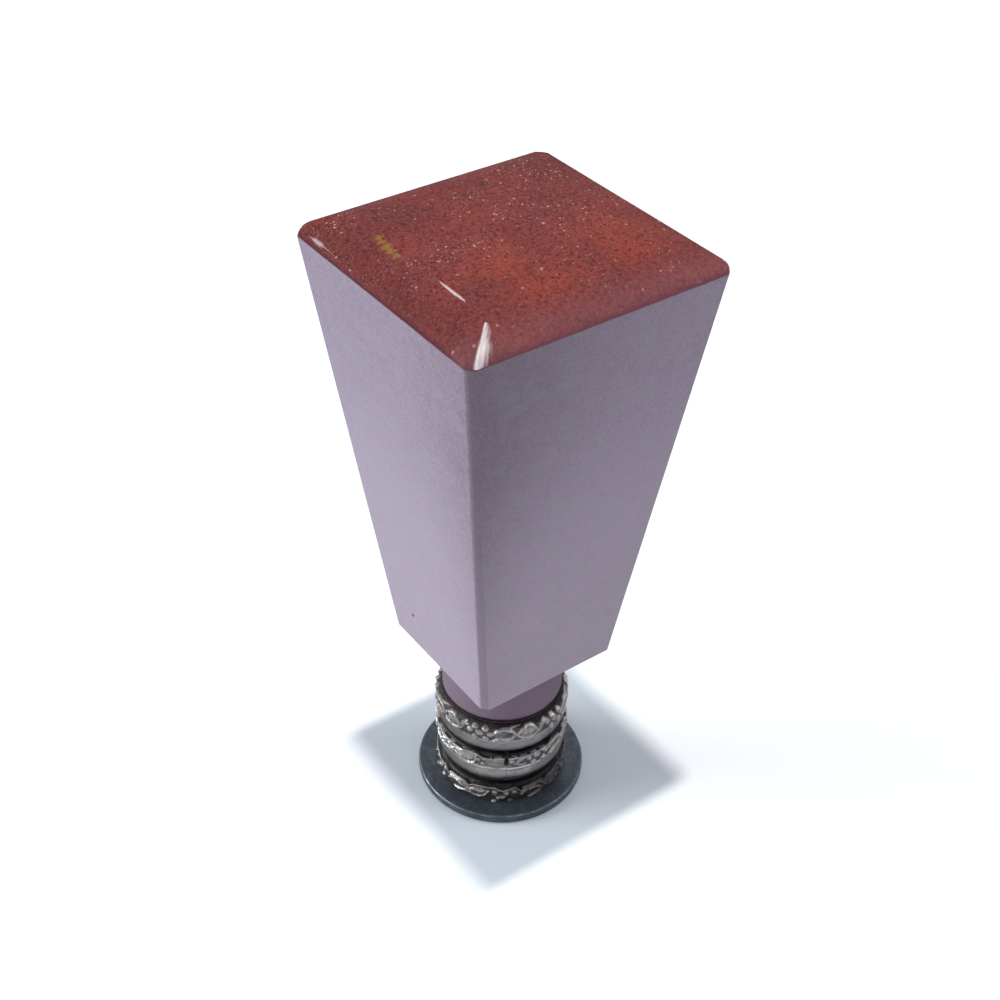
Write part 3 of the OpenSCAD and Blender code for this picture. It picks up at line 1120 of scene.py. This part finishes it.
def repeated(shapes: list[Ornament], *turns: float) -> list[Ornament]:
    """Return the shapes turned about the seal by each of the turns."""
    return [replace(shape, turn=shape.turn + turn) for turn in turns for shape in shapes]


def upper_repeat(z: float) -> list[Ornament]:
    """Return one repeat of the gallery: flower, scroll and broad leaf.

    Args:
        z: The height of the frieze's middle.

    Returns:
        The shapes.
    """
    return [
        Flower(0.0, z), Leaf(-15.0, z + 0.72, 1.3, 0.75, 48), Bead(-10.5, z + 1.5, 0.3, 0.16),
        Trail(24.6, z, SCROLL_PATH, 0.23, 0.34), Pad(17.5, z - 0.05, 1.5, 1.1, 0.14),
        Trail(30.5, z + 0.95, ((-1.2, -0.1), (0.0, 0.12), (1.1, 0.35)), 0.13, 0.24),
        Pad(43.6, z + 0.08, 1.9, 1.55, 0.24, 10), Trail(43.6, z + 0.1, LEAF_RIM, 0.22, 0.34),
        Trail(43.6, z + 0.12, VEIN_PATH, 0.09, 0.32), Trail(53.0, z + 1.2, TIP_PATH, 0.17, 0.26),
        Trail(56.5, z + 0.1, ((-0.5, -0.75), (-0.15, -0.2), (0.1, 0.35), (0.7, 0.75)), 0.16, 0.3)]


def lower_repeat(z: float) -> list[Ornament]:
    """Return one repeat of the lowest ring: hanging flower, leaf and vine.

    Args:
        z: The height of the frieze's middle.

    Returns:
        The shapes.
    """
    petals = ((-0.85, 0.78), (0.5, 0.68), (1.48, 0.78), (-0.38, -0.2), (1.0, -0.75), (-0.9, -0.75))
    hollow = ((-1.35, 0.25), (-0.95, -0.42), (0.0, -0.62), (0.8, -0.30), (1.35, 0.45))
    return [
        Flower(2.5, z - 0.3, 0.4, 0.34, petals), Pad(-19.5, z + 0.30, 2.5, 1.15, 0.25, 14),
        Trail(-19.5, z + 0.2, hollow, 0.15, 0.34),
        Trail(-19.5, z + 0.3, ((-1.0, -0.05), (0.0, -0.1), (0.9, 0.4)), 0.08, 0.3),
        Trail(-40.5, z + 0.95, ((-1.5, -0.5), (-0.4, 0.0), (0.6, 0.1), (1.4, -0.35)), 0.15, 0.32),
        Trail(-40.0, z + 0.15, ((-1.6, -0.2), (-0.5, 0.35), (0.7, 0.1), (1.5, -0.6)), 0.15, 0.3),
        Trail(-37.5, z - 0.75, ((-1.0, -0.15), (-0.2, 0.0), (0.9, 0.35)), 0.17, 0.28),
        Trail(26.0, z + 0.9, ((-1.0, -0.2), (0.0, 0.1), (1.2, 0.0)), 0.13, 0.22),
        Bead(20.5, z + 1.0, 0.3, 0.26)]


def worn_front(z: float) -> list[Ornament]:
    """Return the rubbed ornament on both sides of the seam of the middle ring.

    Args:
        z: The height of the frieze's middle.

    Returns:
        The shapes.
    """
    rim = ((-2.0, -0.2), (-1.2, 0.35), (-0.2, 0.75), (0.8, 0.92), (1.5, 1.0))
    foot = ((-2.0, -0.35), (-1.0, -0.5), (-0.2, -0.85), (0.5, -1.0), (1.3, -0.7), (1.5, 0.4))
    loop = ((0.9, -0.5), (-0.2, -0.85), (-0.95, -0.6), (-0.6, 0.15), (0.2, 0.5), (0.95, 0.1), (1.3, -0.35))
    return [
        Pad(-32.5, z, 2.9, 1.5, 0.26, 12), Trail(-32.5, z + 0.05, rim, 0.16, 0.36),
        Trail(-32.5, z + 0.05, foot, 0.15, 0.34), Trail(-32.5, z, VEIN_PATH, 0.09, 0.3),
        Trail(-40.5, z + 1.0, ((-1.3, -0.2), (-0.3, 0.05), (0.9, 0.0)), 0.13, 0.3),
        Trail(-55.0, z + 0.05, loop, 0.2, 0.36), Bead(-19.0, z - 0.1, 0.3, 0.24),
        Bead(-14.0, z + 0.45, 0.32, 0.2), Bead(-15.0, z - 0.7, 0.28, 0.2), Bead(-10.5, z - 0.1, 0.34, 0.16),
        Pad(-2.5, z + 0.1, 2.6, 2.3, 0.15), Pad(12.0, z + 0.7, 1.0, 0.45, 0.34, 14),
        Bead(10.8, z - 0.05, 0.38, 0.26), Bead(13.5, z - 0.5, 0.3, 0.24),
        Pad(19.3, z + 0.35, 1.1, 0.9, 0.22, 30),
        Trail(19.5, z + 0.3, ((-0.5, -0.5), (0.0, 0.35), (0.6, 0.5)), 0.12, 0.3),
        Trail(19.5, z - 0.65, ((-0.5, 0.1), (0.1, -0.12), (0.5, 0.1)), 0.12, 0.24)]


class Pattern(Enum):
    """Arrangements of the frieze's ornament."""

    UPPER = "upper"
    MIDDLE = "middle"
    LOWER = "lower"


@dataclass
class GalleryRing:
    """A bent strip of flower-and-leaf gallery wire round the ferrule.

    Turns are in degrees from the camera. shine says how bright the ring is rubbed in all; across scales
    that at its left, middle and right as painted light and shade; belly_shine says how bright its belly
    is, rubbed and with a painted reflection that fades away from the front. edge lists turns and drops
    of its ragged upper edge.
    """

    name: str
    node: str
    foot: float
    belly: float
    frieze: float
    shoulder: float
    top_r: float
    pattern: Pattern
    seam_turn: float
    lip_proud: float
    shine: float
    belly_shine: float
    belly_power: float = 0.7
    across: Point3 = (1.0, 1.0, 1.0)
    edge: tuple[Point2, ...] = ((0.0, 0.0),)
    bore_r: float = 6.83
    ground_r: float = 7.67
    groove_r: float = 6.98
    lip_h: float = 0.26
    pitch: float = 72.0
    fine: float = 0.075
    steps: int = 640

    @property
    def frieze_z(self) -> float:
        """Return the height of the frieze's foot."""
        return self.foot + self.belly

    @property
    def lip_z(self) -> float:
        """Return the height of the lip's top."""
        return self.frieze_z + self.frieze

    def profile(self) -> list[Point2]:
        """Return the closed profile of the strip, fine on its outside.

        Returns:
            The radii and heights.
        """
        line = [(self.bore_r, self.foot)]
        if self.belly:
            bulge = self.ground_r + 0.1 - self.groove_r
            line += [(self.groove_r + bulge * math.sin(turn) ** self.belly_power,
                      self.foot + (self.belly - 0.2) * (1 - math.cos(turn)) ** 1.2)
                     for turn in np.radians(np.linspace(0, 90, 16))]
        else:
            line += [(self.ground_r - 0.08, self.foot), (self.ground_r, self.foot + 0.08)]
        line += [(self.ground_r, self.frieze_z + 0.1), (self.ground_r, self.lip_z - self.lip_h)]
        for turn in np.radians(np.linspace(-80, 95, 9)):
            line.append((self.ground_r + self.lip_proud * (0.45 + 0.55 * math.cos(turn)),
                         self.lip_z - self.lip_h / 2 + self.lip_h / 2 * math.sin(turn)))
        line.append((self.top_r, self.lip_z + self.shoulder))
        inside = divided([(self.bore_r, self.lip_z + self.shoulder), (self.bore_r, self.foot)], 1.2)
        return divided(line, self.fine) + inside[:-1]

    def ornaments(self) -> list[Ornament]:
        """Return the shapes of the frieze.

        Returns:
            The shapes.
        """
        turns = [k * self.pitch for k in range(5)]
        if self.pattern is Pattern.UPPER:
            return repeated(upper_repeat(self.frieze_z + 0.95), *(turn - 18.3 for turn in turns))
        if self.pattern is Pattern.LOWER:
            return repeated(lower_repeat(self.foot + 1.0), *turns)
        z = self.frieze_z + 1.0
        return (repeated(upper_repeat(z), *(turn + 35.0 for turn in turns[1:4])) + worn_front(z)
                + repeated(upper_repeat(z + 0.05), 35.0))

    def dress(self, mesh: bpy.types.Mesh) -> None:
        """Raise the ornament on the strip, and store where it is rubbed bright, with painted light and
        shade.

        Args:
            mesh: The strip, in metres.
        """
        x, y, z = points_of(mesh).T
        radius = np.hypot(x, y)
        turn = np.degrees(np.arctan2(y, x)) - CAMERA_TURN
        outside = radius > self.bore_r + 0.05
        lip = outside & (z > self.lip_z - self.lip_h)
        reach = self.lip_z + self.shoulder - 0.12
        on_ground = outside & (z > self.frieze_z - 0.45 * bool(self.belly)) & (z < reach)
        rise = np.zeros(len(z))
        for shape in self.ornaments():
            gap = (turn - shape.turn + 180) % 360 - 180
            close = on_ground & (np.abs(gap) < 20)
            s = self.ground_r * np.radians(gap[close])
            rise[close] = np.maximum(rise[close], shape.rise(s, z[close] - shape.z))
        lumps = self.lumps(turn, z)
        rise = np.where(on_ground, rise * (0.80 + 0.22 * lumps) + 0.035 + 0.035 * lumps, rise)
        standing = np.clip(radius - self.ground_r, 0, None) * lip
        relief = np.maximum(rise - standing, 0)
        seam = self.seam(turn, z)
        lift = np.where(outside, relief * (1 - seam) + self.dents(turn, z) * 0.5 - seam * 0.42, 0.0)
        fall = np.interp(turn, *zip(*self.edge), period=self.pitch)
        fall = fall * np.clip((z - self.lip_z + 0.7) / 0.5, 0, 1)
        drop = np.where(outside & (z < self.lip_z + 0.5 * self.shoulder), fall, 0.0)
        scale = (radius + lift) / radius
        moved = np.stack([x * scale, y * scale, z - drop], axis=1) * MM
        mesh.vertices.foreach_set("co", moved.ravel())
        store(mesh, wear=self.rubbed_and_lit(rise, radius, turn, z, lip) * (1 - 0.95 * seam))
        mesh.update()

    def lumps(self, turn: Array, z: Array) -> Array:
        """Return the uneven wear and grime of the ornament, from -1 to 1.

        Args:
            turn: Turns from the camera, in degrees.
            z: Heights.

        Returns:
            The unevenness.
        """
        around = np.radians(turn)
        coarse = np.sin(19 * around + 2.3 * z + self.foot) * np.sin(13 * around - 3.1 * z)
        fine = np.sin(47 * around - 5.3 * z) * np.sin(37 * around + 7.1 * z + self.foot)
        return 0.6 * coarse + 0.4 * fine

    def dents(self, turn: Array, z: Array) -> Array:
        """Return the slight unevenness of a hand-bent strip, in millimetres.

        Args:
            turn: Turns from the camera, in degrees.
            z: Heights.

        Returns:
            How far each point stands out.
        """
        around = np.radians(turn)
        return (0.05 * np.sin(5 * around + 0.9 * z + self.foot) + 0.03 * np.sin(17 * around - 2.1 * z)
                + 0.015 * np.sin(41 * around + 3.7 * z))

    def seam(self, turn: Array, z: Array) -> Array:
        """Find the butt seam of the strip.

        Args:
            turn: Turns from the camera, in degrees.
            z: Heights.

        Returns:
            The depth of the seam, from 0 to 1.
        """
        gap = np.abs((turn - self.seam_turn + 180) % 360 - 180) * math.radians(1) * self.ground_r
        notch = np.clip((0.24 - gap) / 0.06, 0, 1) * np.clip((z - self.frieze_z - 0.2) / 0.1, 0, 1)
        line = np.clip((0.06 - gap) / 0.04, 0, 1) * 0.15
        return np.maximum(notch, line)

    def rubbed_and_lit(self, rise: Array, radius: Array, turn: Array, z: Array,
               lip: Array) -> Array:
        """Return how bright each point is rubbed, with painted light and shade, from 0 in the hollows to 1.

        Args:
            rise: Rise of the ornament.
            radius: Radius of the plain strip.
            turn: Turn from the camera.
            z: Height.
            lip: Whether the point is on the lip or shoulder.

        Returns:
            The wear, with painted light and shade.
        """
        wear = 0.22 + 0.74 * np.clip(rise / 0.34, 0, 1) ** 1.3
        if self.pattern is Pattern.MIDDLE:
            front = np.exp(-(((turn + 2) / 14) ** 2)) * 0.4
            wear = np.maximum(wear, np.where(z > self.frieze_z - 0.3, front + 0.12, 0))
        # Painted light and shade: the brightness is scaled at the ring's left, middle and right.
        shine = self.shine * np.interp(turn, (-50.0, 0.0, 40.0), self.across)
        wear = wear * shine
        on_lip = np.clip(1 - (self.ground_r + self.lip_proud - radius) / 0.14, 0, 1)
        on_lip = on_lip * min(1, self.lip_proud / 0.25)
        # Painted light and shade on the shoulders: lighter on the left, near black on the right.
        left = 0.5 + 0.5 * np.clip((-turn - 15) / 25, -1, 1)
        shoulder = np.clip(1 - (self.ground_r - radius) / 0.5, 0, 1) * 0.10 - 0.20 + 0.26 * left
        plain = np.where(on_lip > 0, np.maximum(on_lip * 0.85 * shine, shoulder), shoulder)
        wear = np.where(lip, np.maximum(plain, np.where(rise > 0.09, wear, -1.0)), wear)
        if self.belly:
            share = np.clip((z - self.foot) / self.belly, 0, 1)
            belly = np.clip((share - 0.08) / 0.35, 0, 1) * self.belly_shine
            # Painted reflection: the belly is brightest towards the front and fades to the sides.
            belly = belly * np.interp(turn, (-65.0, -38.0, -15.0, 25.0, 50.0), (0.45, 0.65, 1.0, 1.0, 0.7))
            wear = np.where((z < self.frieze_z - 0.05) & (rise < 0.09), belly, wear)
        return wear

    def build(self, material: bpy.types.Material) -> None:
        """Spin the strip and dress it.

        Args:
            material: Its finish.
        """
        piece = Piece(self.name, [self.node], "gallery_silver")
        piece.spin(self.profile(), self.steps)
        self.dress(piece.close(material))


@dataclass
class MatrixDisc:
    """The round die on which the seal stands."""

    radius: float = 10.2
    thick: float = 1.2
    ease: float = 0.3
    steps: int = 360
    pole_r: float = 0.02

    def profile(self) -> list[Point2]:
        """Return the closed half profile, with rounded rims.

        Returns:
            The radii and heights.
        """
        inner = self.radius - self.ease
        line = [(self.pole_r, 0.0), *[(r, 0.0) for r in np.linspace(1.0, inner, 10)]]
        line += arc((inner, self.ease), self.ease, np.linspace(-80, 0, 8))
        line.append((self.radius, self.thick - self.ease))
        line += arc((inner, self.thick - self.ease), self.ease, np.linspace(12, 90, 8))
        line += [(r, self.thick) for r in np.linspace(inner - 0.2, 1.0, 26)]
        return line + [(self.pole_r, self.thick)]

    def build(self, material: bpy.types.Material) -> None:
        """Spin the disc, nick its rim, and store where its rim is rubbed and a highlight is painted.

        Args:
            material: Its finish.
        """
        piece = Piece("matrix_die", ["matrix_disc"], "matrix_steel")
        piece.spin(self.profile(), self.steps)
        for z in (0.0, self.thick):
            pole = [vert for vert in piece.bm.verts
                    if abs(vert.co.z - z) < 1e-6 and vert.co.to_2d().length < 2 * self.pole_r]
            bmesh.ops.pointmerge(piece.bm, verts=pole, merge_co=(0.0, 0.0, z))
        wear = []
        for vert in piece.bm.verts:
            nick = noise.noise(Vector((vert.co.x * 0.9, vert.co.y * 0.9, 3.0)))
            at_rim = max(0.0, 1 - (self.radius - vert.co.to_2d().length) / 0.5)
            if vert.co.z > 0.05:
                pull = 1 - at_rim * (0.02 + 0.035 * max(0.0, nick)) / self.radius
                vert.co.x *= pull
                vert.co.y *= pull
            # A bright line along the upper rim: partly rubbed steel, partly a painted highlight.
            edge = max(0.0, 1 - abs(vert.co.z - (self.thick - self.ease * 0.3)) / 0.22)
            wear.append(at_rim * edge)
        store(piece.close(material), wear=wear)


class HeldParts:
    """The parts of the CAD model that keep their own meshes: sleeve, cement, plate and tang."""

    def dress(self) -> None:
        """Give each kept node its finish."""
        finishes = {
            "ferrule_sleeve": DarkMetalFinish(), "cement_bed": CementFinish(), "tang": BrassFinish(),
            "base_plate": DarkMetalFinish("base_plate_silver", light=rgb(0.35, 0.33, 0.30))}
        for name, finish in finishes.items():
            kept = bpy.data.objects[name]
            kept.data.materials.clear()
            kept.data.materials.append(finish.material())
            log.info("%s: dressed", name)


@dataclass(frozen=True)
class Lamp:
    """A lamp that looks at the seal; its size is a width, or for a sun an angle in degrees."""

    name: str
    kind: str
    place: Point3
    power: float
    size: float
    colour: Point3

    def hang(self, aim: Vector) -> None:
        """Hang the lamp, turned to a point.

        Args:
            aim: The point.
        """
        data = bpy.data.lights.new(self.name, self.kind)
        data.energy = self.power
        data.color = self.colour
        if self.kind == "SUN":
            data.angle = math.radians(self.size)
        else:
            data.shape = "SQUARE"
            data.size = self.size
        place = Vector(self.place)
        facing = (place - aim).to_track_quat("Z", "Y").to_matrix().to_4x4()
        stand(self.name, data).matrix_world = Matrix.Translation(place) @ facing


@dataclass
class Studio:
    """Floor, camera and light of the photograph.

    The two suns stand close together, so that shadows are softer along one axis.
    """

    eye: Point3 = (0.10329, -0.07651, 0.14347)
    azimuth: float = 53.74
    elevation: float = 38.41
    roll: float = 0.97
    lens: float = 54.45
    floor_half: float = 3.0
    floor_colours: tuple[Colour, Colour] = (rgb(0.84, 0.90, 0.985), rgb(0.86, 0.915, 0.99))
    floor_glow: Colour = rgb(0.5, 0.5, 0.5)
    world_light: Colour = rgb(0.98, 0.96, 1.0)
    world_power: float = 0.30
    aim: Point3 = (0.0, 0.0, 0.035)
    lamps: tuple[Lamp, ...] = (
        Lamp("overhead_1", "SUN", (-0.008, -0.036, 1.0), 0.96, 1.7, (1.0, 0.93, 0.84)),
        Lamp("overhead_2", "SUN", (-0.008, -0.016, 1.0), 0.96, 1.7, (1.0, 0.93, 0.84)),
        Lamp("left_fill", "AREA", (-0.42, -0.62, 0.28), 5.7, 0.5, (0.92, 1.0, 0.99)),
        Lamp("right_fill", "AREA", (0.30, 0.48, 0.60), 1.7, 0.4, (0.92, 0.98, 1.0)))

    def floor(self) -> None:
        """Lay a pale floor that glows far from the seal, so that it stays white there."""
        bm = bmesh.new()
        bmesh.ops.create_grid(bm, x_segments=2, y_segments=2, size=self.floor_half)
        mesh = bpy.data.meshes.new("floor")
        bm.to_mesh(mesh)
        bm.free()
        shader = Shader("pale_floor")
        colour = shader.mix(shader.noise(0.05, 3.0), *self.floor_colours)
        far = shader.near(((0.0, 0.0, 0.0), 130.0, 500.0)).ramp(0.0, 1.0, 1.0, 0.0)
        glow = shader.mix(far, rgb(0.0, 0.0, 0.0), self.floor_glow)
        mesh.materials.append(shader.finish(
            Base_Color=colour, Roughness=0.8, Emission_Color=glow, Emission_Strength=1.0))
        stand("floor", mesh)

    def camera(self) -> None:
        """Stand the camera where the photograph was taken."""
        az, el, roll = (math.radians(v) for v in (self.azimuth, self.elevation, self.roll))
        back = Vector((math.sin(az) * math.cos(el), -math.cos(az) * math.cos(el), math.sin(el)))
        right = Vector((math.cos(az), math.sin(az), 0.0))
        up = back.cross(right)
        turned = (right * math.cos(roll) + up * math.sin(roll),
                  up * math.cos(roll) - right * math.sin(roll))
        data = bpy.data.cameras.new("camera")
        data.lens = self.lens
        data.sensor_width = 36.0
        data.clip_start = 0.005
        made = stand("camera", data)
        made.matrix_world = Matrix.Translation(self.eye) @ Matrix((*turned, back)).transposed().to_4x4()
        bpy.context.scene.camera = made

    def light(self) -> None:
        """Hang the lamps in a dim pale world that looks white to the camera and in reflections."""
        for lamp in self.lamps:
            lamp.hang(Vector(self.aim))
        world = bpy.data.worlds.new("studio")
        bpy.context.scene.world = world
        graph = Graph(world)
        lighting = graph.node("ShaderNodeBackground", {}, {0: self.world_light, 1: self.world_power})
        backdrop = graph.node("ShaderNodeBackground", {}, {0: rgb(1.0, 1.0, 1.0), 1: 1.0})
        rays = [graph.node("ShaderNodeLightPath", out=f"Is {kind} Ray")
                for kind in ("Camera", "Glossy", "Transmission")]
        seen = reduce(Sock.larger, rays)
        both = graph.node("ShaderNodeMixShader", {}, {0: seen, 1: lighting, 2: backdrop})
        graph.node("ShaderNodeOutputWorld", {}, {0: both}, out=None)
        bpy.context.scene.view_settings.view_transform = "Standard"


@dataclass
class DeskSeal:
    """The whole seal: stone, gallery rings, matrix and the parts between them."""

    stone: StoneHandle = field(default_factory=StoneHandle)
    matrix: MatrixDisc = field(default_factory=MatrixDisc)
    rings: list[GalleryRing] = field(default_factory=lambda: [
        GalleryRing("gallery_upper", "upper_gallery_ring", 9.65, 2.2, 1.8, 0.4, 7.15, Pattern.UPPER, 186.0,
                    lip_proud=0.06, shine=0.80, belly_shine=0.50, across=(0.8, 1.0, 0.95)),
        GalleryRing("gallery_middle", "middle_gallery_ring", 4.95, 2.2, 1.8, 0.2, 6.98, Pattern.MIDDLE, 6.0,
                    lip_proud=0.20, shine=0.97, belly_shine=0.78, across=(0.98, 1.0, 0.8), belly_power=0.25,
                    edge=((-36.0, 0.1), (-20.0, -0.1), (-15.0, 0.3), (-4.0, 0.3), (3.0, 0.05), (12.0, 0.1),
                          (22.0, 0.15), (36.0, 0.1))),
        GalleryRing("gallery_lower", "lower_gallery_ring", 1.2, 0.0, 2.45, 0.2, 6.98, Pattern.LOWER, 186.0,
                    lip_proud=0.22, shine=0.84, belly_shine=0.0, across=(1.2, 0.72, 0.4),
                    edge=((-51.0, 0.9), (-45.0, 0.15), (-32.0, 0.1), (-28.0, 0.6), (-25.0, 0.15),
                          (-15.0, 0.0), (-4.0, 0.0), (-0.5, 0.35), (3.5, 0.5), (7.0, 0.35), (14.0, 0.0),
                          (21.0, 0.3)))])

    def build(self) -> None:
        """Build and dress every piece."""
        self.stone.build(JasperFinish().material())
        silver = SilverFinish().material()
        for ring in self.rings:
            ring.build(silver)
        self.matrix.build(MatrixFinish().material())
        HeldParts().dress()


def main() -> None:
    """Build the studio and the seal."""
    logging.basicConfig(level=logging.INFO, format="%(relativeCreated)d %(name)s %(message)s")
    studio = Studio()
    studio.floor()
    studio.camera()
    studio.light()
    DeskSeal().build()


if __name__ == "__main__":
    main()
